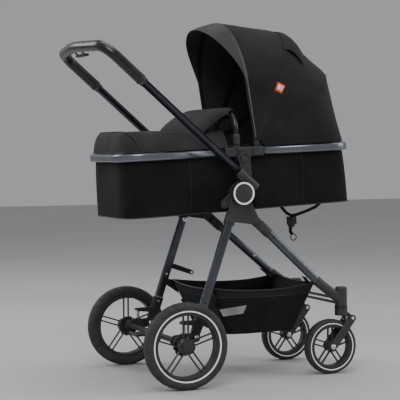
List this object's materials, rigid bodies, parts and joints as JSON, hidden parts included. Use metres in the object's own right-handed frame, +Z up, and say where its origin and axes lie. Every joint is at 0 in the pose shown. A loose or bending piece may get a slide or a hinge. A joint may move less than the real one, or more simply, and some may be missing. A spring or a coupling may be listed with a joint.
{
  "type": "baby stroller",
  "caption": "Folding baby stroller with a lie-flat bassinet, hooded canopy, padded push handle, storage basket, swivelling front wheels and sprung rear axle.",
  "frame": {"origin": "on the floor, under the middle of the bounding box", "axes": "X across (+X is the left side), -Y towards the front wheels, +Z up"},
  "size_m": [0.6162, 0.9216, 1.1516],
  "materials": {
    "tube": "satin gunmetal anodising",
    "casting": "fine-grained moulded plastic",
    "tyre": "matt rubber",
    "wheel": "semi-matt moulded plastic",
    "bright_steel": "bright zinc plate",
    "reflective": "white reflective ring",
    "cover_fabric": "tightly woven matt polyester",
    "visor_fabric": "tightly woven polyester, a shade lighter",
    "lining_fabric": "soft knitted lining",
    "webbing": "ribbed polyester webbing",
    "bow": "black nylon",
    "leatherette": "semi-gloss stitched leatherette"
  },
  "bodies": {
    "frame": {"hub_castings": "casting", "rear_leg_left": "tube", "rear_leg_right": "tube", "rear_feet": "casting", "rear_springs": "bright_steel", "frame_screws": "bright_steel", "basket": "cover_fabric"},
    "front_frame": {"front_leg_left": "tube", "front_leg_right": "tube", "front_brackets": "casting", "front_elbows": "casting", "front_crossbars": "tube"},
    "handle": {"handle_casting_left": "casting", "handle_casting_right": "casting", "handle_tube_left": "tube", "handle_tube_right": "tube", "hub_rings": "reflective"},
    "grip": {"handle_bar": "tube", "handle_grip": "leatherette"},
    "trigger": {"fold_trigger": "casting"},
    "rear_axle": {"rear_axle_beam": "tube"},
    "brake": {"brake_pedal": "casting"},
    "latch": {"storage_latch": "tube"},
    "seat_base": {"seat_adaptors": "casting"},
    "seat": {"seat_hubs": "casting", "head_rail": "tube", "foot_rail": "tube", "bassinet_body": "cover_fabric", "mattress": "lining_fabric", "apron": "cover_fabric", "canopy_mounts": "casting", "webbing_strap": "webbing", "webbing_buckle": "casting", "canopy_panel_rear": "cover_fabric"},
    "bumper": {"bumper_bar": "leatherette", "bumper_flap": "cover_fabric"},
    "canopy_rear": {"canopy_bow_rear": "bow", "canopy_panel_mid": "cover_fabric"},
    "canopy_mid": {"canopy_bow_mid": "bow", "canopy_panel_front": "cover_fabric"},
    "canopy_front": {"canopy_bow_front": "bow", "canopy_visor": "visor_fabric"},
    "caster_left": {"caster_left": "casting", "front_spring_left": "bright_steel"},
    "fork_left": {"fork_left": "casting"},
    "front_wheel_left": {"front_tyre_left": "tyre", "front_rim_left": "wheel"},
    "rear_wheel_left": {"rear_tyre_left": "tyre", "rear_rim_left": "wheel", "brake_gear_left": "wheel"},
    "button_left": {"seat_button_left": "casting"},
    "caster_right": {"caster_right": "casting", "front_spring_right": "bright_steel"},
    "fork_right": {"fork_right": "casting"},
    "front_wheel_right": {"front_tyre_right": "tyre", "front_rim_right": "wheel"},
    "rear_wheel_right": {"rear_tyre_right": "tyre", "rear_rim_right": "wheel", "brake_gear_right": "wheel"},
    "button_right": {"seat_button_right": "casting"}
  },
  "joints": [
    {"name": "handle_fold", "type": "hinge", "parent": "frame", "child": "handle", "pos_m": [0, -0.0332, 0.6], "axis": [1, 0, 0], "range_deg": [0, 180]},
    {"name": "front_fold", "type": "hinge", "parent": "frame", "child": "front_frame", "pos_m": [0, -0.0867, 0.513], "axis": [1, 0, 0], "range_deg": [0, 48]},
    {"name": "handle_telescope", "type": "slide", "parent": "handle", "child": "grip", "axis": [0, 0.7501, 0.6613], "range_m": [0, 0.09]},
    {"name": "trigger_squeeze", "type": "slide", "parent": "grip", "child": "trigger", "axis": [0, 0.7501, 0.6613], "range_m": [0, 0.008], "stiffness_N_per_m": 500, "springref_m": -0.006},
    {"name": "caster_swivel_left", "type": "hinge", "parent": "front_frame", "child": "caster_left", "pos_m": [0.1715, -0.4117, 0.217], "axis": [0, 0, 1], "continuous": true},
    {"name": "fork_spring_left", "type": "hinge", "parent": "caster_left", "child": "fork_left", "pos_m": [0.1715, -0.4427, 0.181], "axis": [1, 0, 0], "range_deg": [0, 8], "stiffness_Nm_per_rad": 60, "springref_deg": -6.88, "deforming": ["front_spring_left"]},
    {"name": "front_wheel_spin_left", "type": "hinge", "parent": "fork_left", "child": "front_wheel_left", "pos_m": [0.1715, -0.3711, 0.0898], "axis": [1, 0, 0], "continuous": true},
    {"name": "caster_swivel_right", "type": "hinge", "parent": "front_frame", "child": "caster_right", "pos_m": [-0.1715, -0.4117, 0.217], "axis": [0, 0, 1], "continuous": true},
    {"name": "fork_spring_right", "type": "hinge", "parent": "caster_right", "child": "fork_right", "pos_m": [-0.1715, -0.4427, 0.181], "axis": [1, 0, 0], "range_deg": [0, 8], "stiffness_Nm_per_rad": 60, "springref_deg": -6.88, "deforming": ["front_spring_right"]},
    {"name": "front_wheel_spin_right", "type": "hinge", "parent": "fork_right", "child": "front_wheel_right", "pos_m": [-0.1715, -0.3711, 0.0898], "axis": [1, 0, 0], "continuous": true},
    {"name": "rear_suspension", "type": "hinge", "parent": "frame", "child": "rear_axle", "pos_m": [0, 0.1223, 0.151], "axis": [1, 0, 0], "range_deg": [0, 6], "stiffness_Nm_per_rad": 150, "springref_deg": -6.88, "deforming": ["rear_springs"]},
    {"name": "rear_wheel_spin_left", "type": "hinge", "parent": "rear_axle", "child": "rear_wheel_left", "pos_m": [0.2873, 0.1813, 0.135], "axis": [1, 0, 0], "continuous": true},
    {"name": "rear_wheel_spin_right", "type": "hinge", "parent": "rear_axle", "child": "rear_wheel_right", "pos_m": [-0.2873, 0.1813, 0.135], "axis": [1, 0, 0], "continuous": true},
    {"name": "brake_press", "type": "hinge", "parent": "rear_axle", "child": "brake", "pos_m": [0, 0.1883, 0.143], "axis": [-1, 0, 0], "range_deg": [0, 18]},
    {"name": "latch_swing", "type": "hinge", "parent": "frame", "child": "latch", "pos_m": [0.212, 0.05448, 0.34704], "axis": [1, 0, 0], "range_deg": [-20, 60]},
    {"name": "seat_lift", "type": "slide", "parent": "frame", "child": "seat_base", "axis": [0, 0, 1], "range_m": [0, 0.3]},
    {"name": "seat_tilt", "type": "hinge", "parent": "seat_base", "child": "seat", "pos_m": [0, -0.0497, 0.7095], "axis": [-1, 0, 0], "range_deg": [0, 30]},
    {"name": "button_press_left", "type": "slide", "parent": "seat_base", "child": "button_left", "axis": [-1, 0, 0], "range_m": [0, 0.003], "stiffness_N_per_m": 500, "springref_m": -0.004},
    {"name": "button_press_right", "type": "slide", "parent": "seat_base", "child": "button_right", "axis": [1, 0, 0], "range_m": [0, 0.003], "stiffness_N_per_m": 500, "springref_m": -0.004},
    {"name": "bumper_lift", "type": "slide", "parent": "seat", "child": "bumper", "axis": [0, 0.0466, 0.9989], "range_m": [0, 0.06]},
    {"name": "canopy_fold", "type": "hinge", "parent": "seat", "child": "canopy_rear", "pos_m": [0, -0.09571, 0.7575], "axis": [1, 0, 0], "range_deg": [0, 26]},
    {"name": "canopy_fold_mid", "type": "hinge", "parent": "canopy_rear", "child": "canopy_mid", "pos_m": [0, -0.09571, 0.7575], "axis": [1, 0, 0], "range_deg": [0, 26]},
    {"name": "canopy_fold_front", "type": "hinge", "parent": "canopy_mid", "child": "canopy_front", "pos_m": [0, -0.09571, 0.7575], "axis": [1, 0, 0], "range_deg": [0, 26]}
  ],
  "couplings": [
    {"joint": "front_fold", "follows": "handle_fold", "ratio": 0.26667},
    {"joint": "canopy_fold_mid", "follows": "canopy_fold", "ratio": 1},
    {"joint": "canopy_fold_front", "follows": "canopy_fold", "ratio": 1}
  ]
}
